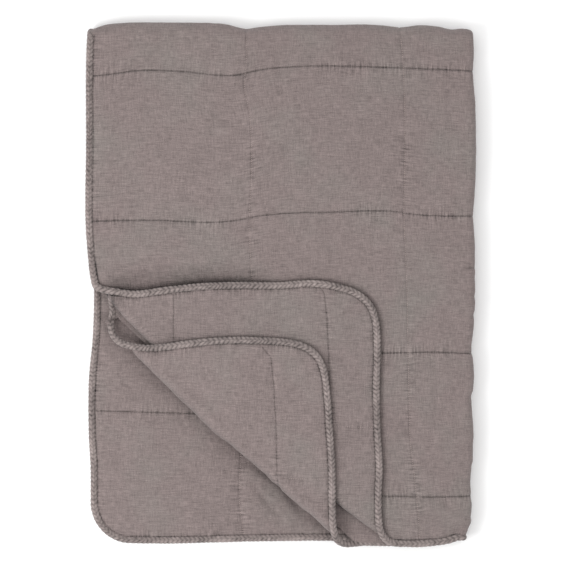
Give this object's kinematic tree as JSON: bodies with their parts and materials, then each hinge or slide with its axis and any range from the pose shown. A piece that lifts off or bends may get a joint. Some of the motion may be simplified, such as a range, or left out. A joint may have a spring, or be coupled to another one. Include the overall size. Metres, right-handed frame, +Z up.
{
  "type": "folded quilted throw",
  "caption": "Corded quilted throw folded in four, with one corner of each upper leaf turned back.",
  "frame": {"origin": "centre of the footprint, on the surface the folded throw lies on", "axes": "+Z up, +Y towards the top fold, +X towards the side fold"},
  "size_m": [0.642, 0.865, 0.0745],
  "materials": {
    "face_fabric": "matte",
    "backing_fabric": "matte",
    "batting": "matte",
    "cord_core": "matte",
    "cord_cover": "matte",
    "thread": "matte"
  },
  "bodies": {
    "lower_leaves": {"lower_face_fabric": "face_fabric", "lower_batting": "batting", "lower_backing_fabric": "backing_fabric", "lower_face_thread": "thread", "lower_backing_thread": "thread", "lower_cord_core": "cord_core", "lower_cord_cover": "cord_cover", "top_fold_face_fabric": "face_fabric", "top_fold_batting": "batting", "top_fold_backing_fabric": "backing_fabric", "top_fold_outer_cord_core": "cord_core", "top_fold_outer_cord_cover": "cord_cover", "top_fold_inner_cord_core": "cord_core", "top_fold_inner_cord_cover": "cord_cover"},
    "upper_leaves": {"upper_face_fabric": "face_fabric", "upper_batting": "batting", "upper_backing_fabric": "backing_fabric", "upper_face_thread": "thread", "upper_backing_thread": "thread", "upper_leaf_side_cord_core": "cord_core", "upper_leaf_side_cord_cover": "cord_cover", "under_leaf_side_cord_core": "cord_core", "under_leaf_side_cord_cover": "cord_cover", "upper_end_cord_core": "cord_core", "upper_end_cord_cover": "cord_cover", "top_crease_face_fabric": "face_fabric", "top_crease_batting": "batting", "top_crease_backing_fabric": "backing_fabric", "under_crease_face_fabric": "face_fabric", "under_crease_batting": "batting", "under_crease_backing_fabric": "backing_fabric"},
    "corner_flap_top": {"top_flap_face_fabric": "face_fabric", "top_flap_batting": "batting", "top_flap_backing_fabric": "backing_fabric", "top_flap_face_thread": "thread", "top_flap_backing_thread": "thread", "top_flap_cord_core": "cord_core", "top_flap_cord_cover": "cord_cover"},
    "corner_flap_under": {"under_flap_face_fabric": "face_fabric", "under_flap_batting": "batting", "under_flap_backing_fabric": "backing_fabric", "under_flap_face_thread": "thread", "under_flap_backing_thread": "thread", "under_flap_cord_core": "cord_core", "under_flap_cord_cover": "cord_cover"}
  },
  "joints": [
    {"name": "top_fold", "type": "hinge", "parent": "lower_leaves", "child": "upper_leaves", "pos_m": [0, 0.40775, 0.02475], "axis": [-1, 0, 0], "range_deg": [0, 175], "deforming": ["top_fold_face_fabric", "top_fold_batting", "top_fold_backing_fabric", "top_fold_outer_cord_core", "top_fold_outer_cord_cover", "top_fold_inner_cord_core", "top_fold_inner_cord_cover"]},
    {"name": "top_flap_crease", "type": "hinge", "parent": "upper_leaves", "child": "corner_flap_top", "pos_m": [-0.04664, -0.22396, 0.04975], "axis": [0.7254, -0.6884, 0], "range_deg": [0, 180], "deforming": ["top_crease_face_fabric", "top_crease_batting", "top_crease_backing_fabric"]},
    {"name": "under_flap_crease", "type": "hinge", "parent": "upper_leaves", "child": "corner_flap_under", "pos_m": [-0.06369, -0.25068, 0.04975], "axis": [0.7254, -0.6884, 0], "range_deg": [0, 180], "deforming": ["under_crease_face_fabric", "under_crease_batting", "under_crease_backing_fabric"]}
  ],
  "couplings": [
    {"joint": "under_flap_crease", "follows": "top_flap_crease", "ratio": 1}
  ]
}
